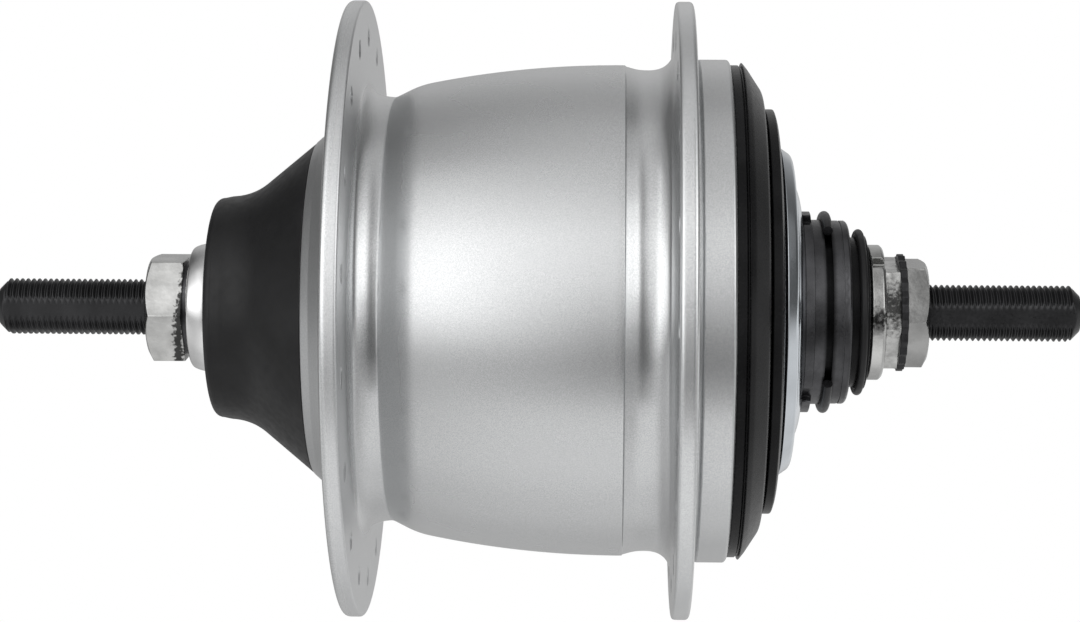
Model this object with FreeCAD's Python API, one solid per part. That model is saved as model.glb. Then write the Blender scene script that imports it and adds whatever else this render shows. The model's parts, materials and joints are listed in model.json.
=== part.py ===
"""Internal gear hub for a rim-brake rear wheel, built as separate pieces, in millimetres.

The axle lies along X, with the sprocket side at +X, and +Z is up. The origin is on the axle, midway
between the outer faces of the two locknuts. Radii are measured from the axle's centre line.
"""
import FreeCAD, Part
import math
import os

from FreeCAD import Vector

AXLE_LINE = Vector(1, 0, 0)
CENTRE = Vector(0, 0, 0)

# Fits
running_gap = 0.05
side_gap = 0.3
open_gap = 0.5

# Gear train: three sun gears, stepped planets and one ring gear, all of one module
module = 1.0
pressure_angle = 25.0
tooth_addendum = 0.8
tooth_dedendum = 1.0
tooth_backlash = 0.12
flank_points = 3
planet_count = 4
sun_teeth = [32, 28, 24]
planet_teeth = [10, 14, 18]
ring_teeth = sun_teeth[0] + 2 * planet_teeth[0]
gear_width = 5.0
gear_step_gap = 0.6
ring_wall = 2.9
planet_pin_diameter = 4.0

# Axle and the sleeve that selects the gear
axle_diameter = 9.525
axle_stub = 26.0
axle_flat_width = 8.2
axle_flat_length = 25.0
axle_flat_turn = 8.0
axle_end_chamfer = 1.6
stator_diameter = 14.0
pawl_length = 4.4
pawl_heel = 1.1
pawl_pivot_side = 0.4
pawl_pivot_drop = 1.4
pawl_swing = 38.0
pawl_end_gap = 0.4
sleeve_wall = 0.75
shift_travel = 154.0
sleeve_tongue_angle = 30.0
sleeve_tongue_margin = 3.0

# Left end, from the locknut's outer face inwards
left_nut_length = 6.3
nut_across_flats = 17.0
nut_chamfer = 0.9
left_nut_corner = 189.5
cover_start = 1.5
cover_width = 2.6
cover_radius = 9.2
cover_bulge = 1.8
cap_setback = 4.95
cap_wall = 1.6
boss_wall = 1.8
cap_flare_radius = 28.3
cap_mouth_gap = 0.8
left_bearing_depth = 13.2
left_reach = 29.3
cap_end_reach = 7.05
cap_bend_reach = 9.9

# Ball bearings: ball, pitch radius and number
left_ball = 4.762
left_pitch_radius = 10.8
left_ball_count = 10
shell_ball = 4.762
shell_pitch_radius = 29.0
shell_ball_count = 14
driver_ball = 3.969
driver_pitch_radius = 11.0
driver_ball_count = 10
race_shy = 0.9
cage_half_height = 0.5
cage_rim = 0.8
ball_sides = 8
ball_bands = 6
cup_wall = 2.2

# Hub shell
shell_wall = 3.4
barrel_swell = 3.5
barrel_start = 10.65
barrel_end = 11.1
neck_drop = 2.1
right_neck_drop = 0.8
flange_spacing = 55.0
flange_thickness = 3.0
flange_rim = 6.1
flange_edge = 0.5
spoke_hole_height = 4.6
spoke_holes = 18
spoke_hole_diameter = 2.9
spoke_turn = 93.5
shell_shoulder = 6.15
shoulder_rise = 1.0
right_bore_step = 1.7

# Roller clutch and ratchet between the gear train and the shell
roller_diameter = 3.3
roller_count = 10
clutch_race_wall = 1.5
ratchet_teeth = 20
ratchet_depth = 1.2
ratchet_width = 5.0
pawl_thickness = 3.0
pawl_pocket_depth = 3.6
pawl_pocket_angle = 24.0
carrier_plate = 3.8
circlip_rim = 1.6
circlip_gap_angle = 50.0
thrust_washer_rim = 4.5

# Drive side, from the shell's end outwards
dust_cap_width = 5.65
dust_cap_lip = 1.4
seal_ring_width = 2.3
seal_ring_radius = 34.4
plate_width = 3.8
plate_radius = 27.9
plate_step_radius = 21.9
driver_seat_radius = 17.2
ridge_width = 1.4
sprocket_seat_width = 2.0
sprocket_seat_radius = 15.7
sprocket_notches = 3
sprocket_notch_width = 4.2
sprocket_notch_turn = 115.0
snap_wire = 1.7
snap_groove_width = 1.2
snap_groove_depth = 1.2
snap_gap_angle = 103.0
snap_gap_turn = 175.5
driver_land = 2.6
driver_line = 1.6
driver_nose = 0.6
driver_wall = 2.5
seal_setback = 1.3
seal_wire = 1.4
driver_cap_rim = 0.4
collar_width = 2.6
collar_radius = 11.5
collar_notch_width = 2.2
collar_notch_turn = 133.0
collar_notch_depth = 1.6
cone_hex_length = 2.5
cone_hex_corner = 196.5
lock_washer_thickness = 1.2
lock_washer_radius = 10.0
lock_washer_teeth = 24
right_nut_length = 3.7
right_nut_corner = 190.4

# Return spring of the gear sleeve
spring_wire = 1.3
spring_turns = 6
spring_sides = 12

# Radii that follow from the axle outwards
axle_radius = axle_diameter / 2
stator_radius = stator_diameter / 2
pawl_pivot_height = stator_radius - pawl_pivot_drop
sleeve_inner_radius = stator_radius + running_gap
sleeve_outer_radius = sleeve_inner_radius + sleeve_wall
sun_bore_radius = sleeve_outer_radius + running_gap

# Radii that follow from the left bearing outwards
left_cup_radius = left_pitch_radius + left_ball / 2 + cup_wall
boss_radius = left_cup_radius + boss_wall
cap_radius = boss_radius + cap_wall

# Radii that follow from the gear train outwards
carrier_radius = module * (sun_teeth[0] + planet_teeth[0]) / 2
ring_root_radius = module * (ring_teeth / 2 + tooth_dedendum)
ring_outer_radius = ring_root_radius + ring_wall
clutch_race_radius = ring_outer_radius + roller_diameter + 2 * running_gap
shell_bore_radius = clutch_race_radius + clutch_race_wall
right_bore_radius = shell_bore_radius + right_bore_step
barrel_left_radius = shell_bore_radius + shell_wall
barrel_right_radius = barrel_left_radius + barrel_swell
neck_radius = barrel_left_radius - neck_drop
right_neck_radius = barrel_right_radius - right_neck_drop
shoulder_radius = barrel_right_radius + shoulder_rise
spoke_circle_radius = barrel_right_radius + spoke_hole_height
flange_radius = spoke_circle_radius + flange_rim

# Places along the axle, as distances from the left locknut's outer face
drive_side_width = (
    dust_cap_width + side_gap + seal_ring_width + 2 * running_gap + plate_width + side_gap
    + ridge_width + sprocket_seat_width + snap_groove_width + driver_land + driver_nose
)
cap_stack = seal_setback + seal_wire + driver_cap_rim
right_stack = cap_stack + side_gap + collar_width + 2 * running_gap + cone_hex_length
right_stack = right_stack + lock_washer_thickness + right_nut_length
flange_left_depth = left_nut_length + left_reach
flange_right_depth = flange_left_depth + flange_spacing
shell_end_depth = flange_right_depth + flange_thickness / 2 + shell_shoulder
driver_end_depth = shell_end_depth + drive_side_width
over_locknut = driver_end_depth + right_stack

# Places along X, from left to right
x_left_face = -over_locknut / 2
x_left_nut = x_left_face + left_nut_length
x_cover = x_left_nut + cover_start
x_cap_face = x_left_nut + cap_setback
x_boss_end = x_cap_face + cap_wall
x_left_balls = x_left_nut + left_bearing_depth
x_flange_left = x_left_face + flange_left_depth
x_flange_right = x_left_face + flange_right_depth
x_cap_end = x_flange_left - cap_end_reach
x_cap_bend = x_cap_end - cap_bend_reach
x_shell_end = x_left_face + shell_end_depth
x_driver_end = x_left_face + driver_end_depth
x_right_face = over_locknut / 2

# Gear train, from the left flange
x_train = x_flange_left + 8.6
x_carrier_left = x_train
x_gear = [x_train + carrier_plate + open_gap + i * (gear_width + gear_step_gap) for i in range(3)]
x_gears_end = x_gear[2] + gear_width
x_carrier_right = x_gears_end + open_gap
x_dogs = x_carrier_right + carrier_plate

# Drive side places
x_seal_ring = x_shell_end + dust_cap_width + side_gap
x_plate = x_seal_ring + seal_ring_width + 2 * running_gap
x_ridge = x_plate + plate_width + side_gap
x_sprocket_seat = x_ridge + ridge_width
x_snap = x_sprocket_seat + sprocket_seat_width
x_land = x_snap + snap_groove_width
x_shell_balls = x_shell_end + 0.8
x_driver_balls = x_land - 0.4
x_collar = x_driver_end + cap_stack + side_gap
x_cone_hex = x_collar + collar_width + 2 * running_gap
x_lock_washer = x_cone_hex + cone_hex_length
x_right_nut = x_lock_washer + lock_washer_thickness

# Places and sizes inside the hub that several pieces share
planet_turn = 45.0
x_circlip = x_carrier_left - 2.8
circlip_width = 1.0
x_stator_left = x_circlip - 1.2
x_stator_right = x_driver_balls - driver_ball / 2 - 0.6
x_sleeve_end = x_stator_right
cone_shank_radius = axle_radius + 3.2
cone_hub_radius = stator_radius - 0.1
collar_bore_radius = cone_hub_radius + running_gap
pawl_turn = [90.0, 210.0, 330.0]
tongue_turn = 90.0
window_margin = 44.0
window_lead = 40.0
window_span = 196.0
idle_window_turn = 60.0
sun_notches = 6
notch_angle = 30.0
notch_lead = 15.0
notch_radius = sun_bore_radius + 1.2
ratchet_low = right_bore_radius - 1.9 - ratchet_depth
carrier_pawls = 3
x_pawl = x_carrier_right + (carrier_plate - pawl_thickness) / 2
nose_radius = sleeve_outer_radius + open_gap + 3.6
x_nose_end = x_dogs + 12.0
pillar_angle = 28.0
dog_count = 4
dog_angle = 40.0
driver_dog_angle = 46.0
dog_height = 3.2
dog_radius = nose_radius + 4.6
seal_seat_radius = driver_seat_radius + 2.8
snap_rise = math.sqrt((snap_wire / 2) ** 2 - (snap_groove_width / 2) ** 2)
snap_centre_radius = sprocket_seat_radius + snap_rise + running_gap
seal_tube_radius = driver_pitch_radius + 1.75
cap_bore_radius = driver_pitch_radius - race_shy + open_gap
spring_radius = (sleeve_outer_radius + 2 * running_gap + spring_wire / 2) / math.cos(math.pi / spring_sides)
spring_bore_radius = spring_radius + spring_wire / 2 + open_gap
x_spring_start = x_nose_end + 2.0
x_mouth = x_driver_balls + driver_ball / 2 + side_gap
x_spring_end = x_driver_balls - driver_ball / 2 - 3.0



def point(x, radius):
    """A point of a turned outline: a place along the axle and a radius."""
    return Vector(x, 0, radius)


def lathe(*outline):
    """Turn a closed outline about the axle. A triple (via, end) is an arc, a pair is a line's end."""
    edges = []
    here = point(*outline[0])
    first = here
    for step in outline[1:] + (outline[0],):
        if isinstance(step[0], tuple):
            via, end = point(*step[0]), point(*step[1])
            edges.append(Part.Arc(here, via, end).toShape())
        else:
            end = point(*step)
            if here.distanceToPoint(end) < 1e-7:
                continue
            edges.append(Part.LineSegment(here, end).toShape())
        here = end
    if here.distanceToPoint(first) > 1e-7:
        edges.append(Part.LineSegment(here, first).toShape())
    face = Part.Face(Part.Wire(edges))
    return face.revolve(CENTRE, AXLE_LINE, 360)


def ring(x_start, x_end, inner, outer):
    """A plain ring round the axle."""
    return lathe((x_start, inner), (x_end, inner), (x_end, outer), (x_start, outer))


def rod(x_start, x_end, radius):
    """A plain round bar on the axle's line."""
    return Part.makeCylinder(radius, x_end - x_start, Vector(x_start, 0, 0), AXLE_LINE)


def prism(x_start, x_end, corners):
    """Extrude a polygon of (radius, angle) corners along the axle, angles from +Y towards +Z."""
    points = []
    for radius, angle in corners:
        points.append(Vector(x_start, radius * math.cos(angle), radius * math.sin(angle)))
    points.append(points[0])
    return Part.Face(Part.makePolygon(points)).extrude(Vector(x_end - x_start, 0, 0))


def turned(shape, degrees):
    """A copy of a shape, turned about the axle."""
    copy = shape.copy()
    copy.rotate(CENTRE, AXLE_LINE, degrees)
    return copy


def spaced(shape, count, start=0.0):
    """Copies of a shape, evenly spaced round the axle."""
    return [turned(shape, start + 360.0 * i / count) for i in range(count)]


def sector(x_start, x_end, inner, outer, middle, width):
    """A piece of a ring, centred on an angle and as wide as another, in degrees."""
    outline = [(x_start, inner), (x_end, inner), (x_end, outer), (x_start, outer), (x_start, inner)]
    face = Part.Face(Part.makePolygon([Vector(x, r, 0) for x, r in outline]))
    piece = face.revolve(CENTRE, AXLE_LINE, width)
    return turned(piece, middle - width / 2)


def hexagon(x_start, x_end, across_flats, corner):
    """A six-sided bar, with one corner at an angle in degrees."""
    radius = across_flats / math.sqrt(3)
    return prism(x_start, x_end, [(radius, math.radians(corner + 60 * i)) for i in range(6)])


def involute(angle):
    """The involute function of a pressure angle."""
    return math.tan(angle) - angle


def half_tooth(teeth, radius, shift):
    """Half of a tooth's angle at a radius; shift widens it at the pitch circle, in millimetres."""
    pitch = module * teeth / 2
    base = pitch * math.cos(math.radians(pressure_angle))
    flank = math.acos(min(1.0, base / radius))
    middle = (math.pi * module / 2 + shift) / (2 * pitch)
    return middle + involute(math.radians(pressure_angle)) - involute(flank)


def flank_radii(teeth, low, high):
    """Radii of the points along a flank, from the base circle or the root to the tip."""
    base = module * teeth / 2 * math.cos(math.radians(pressure_angle))
    start = max(low, base * 1.001)
    return [start + (high - start) * i / (flank_points - 1) for i in range(flank_points)]


def outer_teeth(x_start, x_end, teeth, first_tooth):
    """A toothed disc with involute teeth, its first tooth centred on an angle in degrees."""
    pitch = module * teeth / 2
    root = pitch - tooth_dedendum * module
    tip = pitch + tooth_addendum * module
    radii = flank_radii(teeth, root, tip)
    corners = []
    for i in range(teeth):
        middle = math.radians(first_tooth) + 2 * math.pi * i / teeth
        widths = [half_tooth(teeth, r, -tooth_backlash / 2) for r in radii]
        places = [root] + radii[1:]
        corners += [(r, middle - w) for r, w in zip(places, widths)]
        corners += [(r, middle + w) for r, w in reversed(list(zip(places, widths)))]
    return prism(x_start, x_end, corners)


def inner_teeth(x_start, x_end, teeth, first_tooth):
    """The hole of an internal gear, with a tooth that points inwards centred on an angle."""
    pitch = module * teeth / 2
    tip = pitch - tooth_addendum * module
    root = pitch + tooth_dedendum * module
    radii = [tip + (root - tip) * i / (flank_points - 1) for i in range(flank_points)]
    corners = []
    for i in range(teeth):
        middle = math.radians(first_tooth) + 2 * math.pi * (i + 0.5) / teeth
        widths = [half_tooth(teeth, r, tooth_backlash / 2) for r in radii]
        corners += [(r, middle - w) for r, w in zip(radii, widths)]
        corners += [(r, middle + w) for r, w in reversed(list(zip(radii, widths)))]
    return prism(x_start, x_end, corners)


def arc_of_race(x, radius, size, start, end):
    """An arc step for an outline, round a ball's centre, between two angles in degrees."""
    places = []
    for angle in (start, (start + end) / 2, end):
        turn = math.radians(angle)
        places.append((x + size * math.cos(turn), radius + size * math.sin(turn)))
    return places


def faceted_ball(radius):
    """A bearing ball with flat facets, whose corners lie on the true sphere."""
    def corner(band, side):
        height = math.pi * band / ball_bands
        turn = 2 * math.pi * side / ball_sides
        flat = radius * math.sin(height)
        return Vector(radius * math.cos(height), flat * math.cos(turn), flat * math.sin(turn))

    faces = []
    for side in range(ball_sides):
        for band in range(ball_bands):
            loop = [corner(band, side), corner(band + 1, side), corner(band + 1, side + 1)]
            if band == 0:
                loop = [corner(0, 0), corner(1, side), corner(1, side + 1)]
            elif band == ball_bands - 1:
                loop = [corner(band, side), corner(ball_bands, 0), corner(band, side + 1)]
            else:
                loop.append(corner(band, side + 1))
            faces.append(Part.Face(Part.makePolygon(loop + [loop[0]])))
    ball = Part.Solid(Part.makeShell(faces))
    if ball.Volume < 0:
        ball.reverse()
    return ball


def balls(x, pitch_radius, diameter, count):
    """A ring of bearing balls."""
    ball = faceted_ball(diameter / 2)
    ball.translate(Vector(x, pitch_radius, 0))
    return Part.makeCompound(spaced(ball, count))


def ball_cage(x, pitch_radius, diameter, count):
    """The ring that spaces the balls, with a square pocket for each."""
    pocket_half = diameter / 2 + 2 * running_gap
    half_width = pocket_half + cage_rim
    low = pitch_radius - cage_half_height
    high = pitch_radius + cage_half_height
    cage = ring(x - half_width, x + half_width, low, high)
    corner = Vector(x - pocket_half, low - 1, -pocket_half)
    pocket = Part.makeBox(2 * pocket_half, high - low + 2, 2 * pocket_half, corner)
    return cage.cut(Part.makeCompound(spaced(pocket, count)))


def make_axle():
    """The axle: threaded ends with flats, and a thick middle with pockets for the sun pawls."""
    end = over_locknut / 2 + axle_stub
    tip = axle_radius - axle_end_chamfer
    axle = lathe(
        (-end, 0), (-end, tip), (-end + axle_end_chamfer, axle_radius),
        (x_stator_left, axle_radius), (x_stator_left, stator_radius),
        (x_stator_right, stator_radius), (x_stator_right, axle_radius),
        (end - axle_end_chamfer, axle_radius), (end, tip), (end, 0),
    )
    for x_start in (-end - 1, end - axle_flat_length):
        corner = Vector(x_start, axle_flat_width / 2, -axle_radius)
        cutter = Part.makeBox(axle_flat_length + 1, axle_radius, axle_diameter, corner)
        for half_turn in (0, 180):
            axle = axle.cut(turned(cutter, axle_flat_turn + half_turn))
    axle = axle.cut(circlip_groove())
    for i in range(len(sun_teeth)):
        axle = axle.cut(pawl_pocket(i))
    return axle


def make_nut(x_start, x_end, corner, outer_side):
    """A hexagon locknut, chamfered on its outer face and bored for the axle."""
    widest = nut_across_flats / math.sqrt(3)
    low = nut_across_flats / 2 - 0.3
    outer, inner = (x_start, x_end) if outer_side < 0 else (x_end, x_start)
    slope = outer - outer_side * nut_chamfer
    turned_limit = lathe(
        (outer, axle_radius), (outer, low), (slope, widest), (inner, widest), (inner, axle_radius)
    )
    return hexagon(x_start, x_end, nut_across_flats, corner).common(turned_limit)


def make_left_cone():
    """The left bearing cone, screwed on the axle behind the left locknut."""
    size = left_ball / 2 + running_gap
    shoulder = left_pitch_radius - race_shy
    start = 180 + math.degrees(math.asin(race_shy / size))
    first, via, last = arc_of_race(x_left_balls, left_pitch_radius, size, start, 270)
    nose = x_left_balls + left_ball / 2
    return lathe(
        (x_left_nut, axle_radius), (x_left_nut, cone_shank_radius),
        (first[0] - 2, cone_shank_radius), (first[0] - 1, shoulder), first, (via, last),
        (nose, last[1]), (nose, axle_radius),
    )


def make_left_cover():
    """The bright domed cover on the left cone."""
    x_in = x_cover + cover_width
    rim = cover_radius + cover_bulge
    return lathe(
        (x_cover, cone_shank_radius), (x_cover, cover_radius),
        ((x_cover + cover_width / 2 - 0.35, cover_radius + 0.6 * cover_bulge), (x_in - 0.3, rim)),
        (x_in + 1.2, rim), (x_in + 1.2, rim - 1), (x_in - 0.4, rim - 1.2), (x_in - 0.4, cone_shank_radius),
    )


def make_left_cap():
    """The black rubber cap over the brake splines at the shell's left end."""
    x_end = x_cap_end
    x_bend = x_cap_bend
    mouth = cover_radius + cover_bulge + cap_mouth_gap
    inner = boss_radius
    return lathe(
        (x_cap_face, mouth), (x_cap_face, cap_radius - 1.4),
        ((x_cap_face + 0.4, cap_radius - 0.4), (x_cap_face + 1.4, cap_radius)),
        (x_bend - 4.6, cap_radius + 0.3),
        ((x_bend - 1.2, cap_radius + 1.0), (x_bend + 1.4, cap_radius + 2.5)),
        (x_end, cap_flare_radius), (x_end, cap_flare_radius - cap_wall),
        (x_bend + cap_wall, inner + 1.5), (x_bend - 1.5, inner), (x_boss_end, inner),
        (x_boss_end, mouth),
    )


def make_left_cup():
    """The left ball cup, pressed into the shell's boss."""
    size = left_ball / 2 + running_gap
    high = left_cup_radius
    low = left_pitch_radius + race_shy
    end = math.degrees(math.asin(race_shy / size))
    first, via, last = arc_of_race(x_left_balls, left_pitch_radius, size, 90, end)
    x_out = x_left_balls - left_ball / 2
    x_in = x_left_balls + left_ball / 2 + cup_wall
    return lathe(
        (x_out, first[1]), first, (via, last), (x_in, low), (x_in, high), (x_out, high)
    )


def make_hub_shell():
    """The one-piece shell: brake boss, cone, two spoke flanges and the swelling barrel."""
    half = flange_thickness / 2
    left = x_flange_left
    right = x_flange_right
    boss = boss_radius
    cup_high = left_cup_radius
    cup_end = x_left_balls + left_ball / 2 + cup_wall
    x_bend = x_cap_bend
    x_barrel = left + barrel_start
    x_barrel_end = right - barrel_end
    length = x_barrel_end - x_barrel
    swell_radius = (length ** 2 + barrel_swell ** 2) / (2 * barrel_swell)
    middle_drop = swell_radius - math.sqrt(swell_radius ** 2 - (length / 2) ** 2)
    x_race = x_gear[0] - 1.0
    x_race_end = x_gear[0] + gear_width + 1.0
    edge_via = 0.293 * flange_edge
    blank = lathe(
        (x_boss_end, cup_high), (x_boss_end, boss),
        (x_bend - 1.5, boss), (x_bend + cap_wall, boss + 1.5),
        (x_cap_end, cap_flare_radius - cap_wall), (x_cap_end, cap_flare_radius + 0.1),
        (x_cap_end + 1.5, cap_flare_radius + 1.4), (left - half - 0.9, neck_radius - 2.4),
        ((left - half - 0.25, neck_radius - 1.5), (left - half, neck_radius - 0.3)),
        (left - half, flange_radius - flange_edge),
        ((left - half + edge_via, flange_radius - edge_via), (left - half + flange_edge, flange_radius)),
        (left + half - flange_edge, flange_radius),
        ((left + half - edge_via, flange_radius - edge_via), (left + half, flange_radius - flange_edge)),
        (left + half, neck_radius + 3.2),
        ((left + half + 1.1, neck_radius + 0.9), (left + half + 4.1, neck_radius)),
        (x_barrel - 4.6, neck_radius),
        ((x_barrel - 2.2, neck_radius + 0.7), (x_barrel, barrel_left_radius)),
        ((x_barrel + length / 2, barrel_right_radius - middle_drop), (x_barrel_end, barrel_right_radius)),
        (x_barrel_end + 1.4, barrel_right_radius - 0.3),
        (x_barrel_end + 3.2, right_neck_radius), (x_barrel_end + 5.2, right_neck_radius),
        ((right - half - 1.0, right_neck_radius + 1.2), (right - half, right_neck_radius + 3.4)),
        (right - half, flange_radius - flange_edge),
        ((right - half + edge_via, flange_radius - edge_via), (right - half + flange_edge, flange_radius)),
        (right + half - flange_edge, flange_radius),
        ((right + half - edge_via, flange_radius - edge_via), (right + half, flange_radius - flange_edge)),
        (right + half, shoulder_radius), (x_shell_end - 0.4, shoulder_radius),
        (x_shell_end, shoulder_radius - 0.5),
        (x_shell_end, right_bore_radius), (x_race_end, right_bore_radius),
        (x_race_end, shell_bore_radius), (x_race, shell_bore_radius),
        (x_race - 1.0, neck_radius - shell_wall), (left + 2.4, neck_radius - shell_wall),
        (left - half - 5.0, cap_flare_radius - 2.4 - cap_wall), (cup_end, cup_high + 1.0),
        (cup_end, cup_high),
    )
    hole = Part.makeCylinder(
        spoke_hole_diameter / 2, flange_thickness + 2, Vector(-half - 1, spoke_circle_radius, 0), AXLE_LINE
    )
    holes = []
    for x_flange, turn in ((left, spoke_turn), (right, spoke_turn + 180.0 / spoke_holes)):
        drill = hole.copy()
        drill.translate(Vector(x_flange, 0, 0))
        holes += spaced(drill, spoke_holes, turn)
    return blank.cut(Part.makeCompound(holes))


def make_right_cup():
    """The shell's right ball cup, pressed into the bore."""
    size = shell_ball / 2 + running_gap
    low = shell_pitch_radius + race_shy
    start = 180 - math.degrees(math.asin(race_shy / size))
    first, via, last = arc_of_race(x_shell_balls, shell_pitch_radius, size, start, 90)
    x_in = x_shell_balls - shell_ball / 2 - cup_wall
    x_out = x_shell_balls + shell_ball / 2
    return lathe(
        (x_in, low), first, (via, last), (x_out, last[1]), (x_out, right_bore_radius - 1.2),
        (x_shell_end, right_bore_radius - 1.2), (x_shell_end, right_bore_radius), (x_in, right_bore_radius),
    )


def make_outer_dust_cap():
    """The black dust cap on the shell's right end."""
    x = x_shell_end
    x_end = x + dust_cap_width
    rim = shoulder_radius - 0.9
    inner = seal_ring_radius - dust_cap_lip
    spigot = right_bore_radius - 1.2
    return lathe(
        (x, right_bore_radius - 1.2), (x, rim), (x + 1.5, rim), (x + 1.6, rim - 0.5), (x + 1.9, rim - 0.5),
        (x + 2.0, rim + 0.5), (x + 2.9, rim - 0.6), (x + 5.4, seal_ring_radius + 3.0),
        (x_end, seal_ring_radius), (x_end, inner), (x_end - 1.0, inner),
        (x_shell_balls + shell_ball / 2 + side_gap, spigot),
    )


def make_clutch_race():
    """The hardened ring in the shell that the clutch rollers grip."""
    x_start = x_gear[0] - 1.0
    return ring(x_start, x_gear[0] + gear_width + 1.0, clutch_race_radius, shell_bore_radius)


def make_ratchet_ring():
    """The ring in the shell with inner ratchet teeth for the carrier's pawls."""
    low = right_bore_radius - 1.9 - ratchet_depth
    high = right_bore_radius - 1.9
    corners = []
    for i in range(ratchet_teeth):
        angle = 2 * math.pi * i / ratchet_teeth
        corners.append((low, angle))
        corners.append((high, angle + 0.1 * 2 * math.pi / ratchet_teeth))
    x_start = x_carrier_right - 0.6
    x_end = x_start + ratchet_width
    return rod(x_start, x_end, right_bore_radius).cut(prism(x_start - 1, x_end + 1, corners))


def make_ring_gear():
    """The ring gear, with the ramps that wedge the clutch rollers on its rim."""
    x_end = x_gear[0] + gear_width
    blank = rod(x_gear[0], x_end, ring_outer_radius)
    return blank.cut(inner_teeth(x_gear[0] - 1, x_end + 1, ring_teeth, planet_turn))


def make_sun_gear(i):
    """A sun gear, with inner notches for its pawl."""
    x_end = x_gear[i] + gear_width
    blank = outer_teeth(x_gear[i], x_end, sun_teeth[i], planet_turn)
    bore = rod(x_gear[i] - 1, x_end + 1, sun_bore_radius)
    notch = sector(x_gear[i] - 1, x_end + 1, sun_bore_radius - 1, notch_radius, pawl_turn[i], notch_angle)
    return blank.cut(bore.fuse(spaced(notch, sun_notches, notch_lead)))


def make_planet(k):
    """One stepped planet gear: three toothed steps in one piece, bored for its pin."""
    steps = []
    for i, teeth in enumerate(planet_teeth):
        x_start = x_gear[i] if i == 0 else x_gear[i] - gear_step_gap / 2 + 0.1
        x_end = x_gear[i] + gear_width + (gear_step_gap / 2 + 0.1 if i < 2 else 0)
        step = outer_teeth(x_start, x_end, teeth, 180.0 / teeth)
        steps.append(step)
    gear = steps[0].fuse(steps[1:])
    gear = gear.removeSplitter()
    gear = gear.cut(rod(x_gear[0] - 1, x_gears_end + 1, planet_pin_diameter / 2 + running_gap))
    gear.translate(Vector(0, carrier_radius, 0))
    return turned(gear, planet_turn + 360.0 * k / planet_count)


def make_carrier():
    """The planet carrier: two plates joined by pillars, with dogs towards the driver."""
    left_radius = carrier_radius + planet_pin_diameter / 2 + 3.0
    right_radius = ratchet_low - 2.4
    bore = sleeve_outer_radius + open_gap
    plates = ring(x_carrier_left, x_carrier_left + carrier_plate, stator_radius + running_gap, left_radius)
    right = ring(x_carrier_right, x_carrier_right + carrier_plate, bore, right_radius)
    nose = ring(x_dogs - 0.5, x_nose_end, bore, nose_radius)
    pillar_low = module * (sun_teeth[0] / 2 + tooth_addendum) + open_gap
    pillar_high = module * (ring_teeth / 2 - tooth_addendum) - open_gap
    pillar = sector(
        x_carrier_left + 1, x_carrier_right + 1, pillar_low, pillar_high,
        planet_turn + 180.0 / planet_count, pillar_angle,
    )
    dog = sector(x_dogs - 0.5, x_dogs + dog_height, nose_radius - 0.5, dog_radius, 0, dog_angle)
    body = plates.fuse([right, nose] + spaced(pillar, planet_count) + spaced(dog, dog_count))
    pin = pin_rod(planet_pin_diameter / 2)
    body = body.cut(Part.makeCompound(spaced(pin, planet_count, planet_turn)))
    body = body.cut(Part.makeCompound(pawl_cutters()))
    return body.removeSplitter()


def pin_rod(radius):
    """A bar where the first planet's pin lies."""
    length = x_carrier_right + carrier_plate - x_carrier_left
    return Part.makeCylinder(radius, length, Vector(x_carrier_left, carrier_radius, 0), AXLE_LINE)


def make_planet_pins():
    """The pins that the planets turn on."""
    return Part.makeCompound(spaced(pin_rod(planet_pin_diameter / 2), planet_count, planet_turn))


def make_rollers():
    """The clutch rollers between the ring gear and the race in the shell."""
    orbit = ring_outer_radius + running_gap + roller_diameter / 2
    place = Vector(x_gear[0] + 0.4, orbit, 0)
    roller = Part.makeCylinder(roller_diameter / 2, gear_width - 0.8, place, AXLE_LINE)
    return Part.makeCompound(spaced(roller, roller_count))


def make_roller_cage():
    """The cage that spaces the clutch rollers."""
    low = ring_outer_radius + side_gap
    high = clutch_race_radius - side_gap
    orbit = ring_outer_radius + running_gap + roller_diameter / 2
    cage = ring(x_gear[0] - 0.6, x_gear[0] + gear_width + 0.6, low, high)
    place = Vector(x_gear[0] + 0.3, orbit, 0)
    pocket = Part.makeCylinder(roller_diameter / 2 + running_gap, gear_width - 0.6, place, AXLE_LINE)
    return cage.cut(Part.makeCompound(spaced(pocket, roller_count)))


def pawl_corners():
    """The outline of one carrier pawl, folded under the ratchet's teeth."""
    tip = ratchet_low - side_gap
    heel = ratchet_low - pawl_pocket_depth + running_gap * 2
    return [
        (heel, 0.17), (heel, 0.06), (tip - 1.4, -0.15), (tip, -0.15), (tip - 0.3, 0.0), (heel + 1.8, 0.17),
    ]


def pawl_cutters():
    """Pockets in the carrier's rim for its pawls."""
    low = ratchet_low - pawl_pocket_depth
    pocket = sector(x_pawl, x_pawl + pawl_thickness, low, ratchet_low, 0, pawl_pocket_angle)
    return spaced(pocket, carrier_pawls, 45.0)


def make_carrier_pawls():
    """The pawls that drive the shell straight from the carrier, folded as in the high gears."""
    x_start = x_pawl + side_gap / 2
    x_end = x_pawl + pawl_thickness - side_gap / 2
    pawl = prism(x_start, x_end, pawl_corners())
    return Part.makeCompound(spaced(pawl, carrier_pawls, 45.0))


def circlip_groove():
    """The groove in the axle that holds the circlip."""
    return ring(x_circlip, x_circlip + circlip_width, stator_radius - 0.7, stator_radius + 1)


def make_circlip():
    """The circlip that stops the carrier on the left."""
    x_end = x_circlip + circlip_width
    outer = stator_radius + circlip_rim
    clip = ring(x_circlip, x_end, stator_radius - 0.7, outer)
    gap = sector(x_circlip - 1, x_end + 1, stator_radius - 2, outer + 1, 270, circlip_gap_angle)
    return clip.cut(gap)


def make_thrust_washer():
    """The washer between the circlip and the carrier."""
    x_start = x_circlip + circlip_width + running_gap
    outer = stator_radius + thrust_washer_rim
    return ring(x_start, x_carrier_left - side_gap, stator_radius + running_gap, outer)


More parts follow.
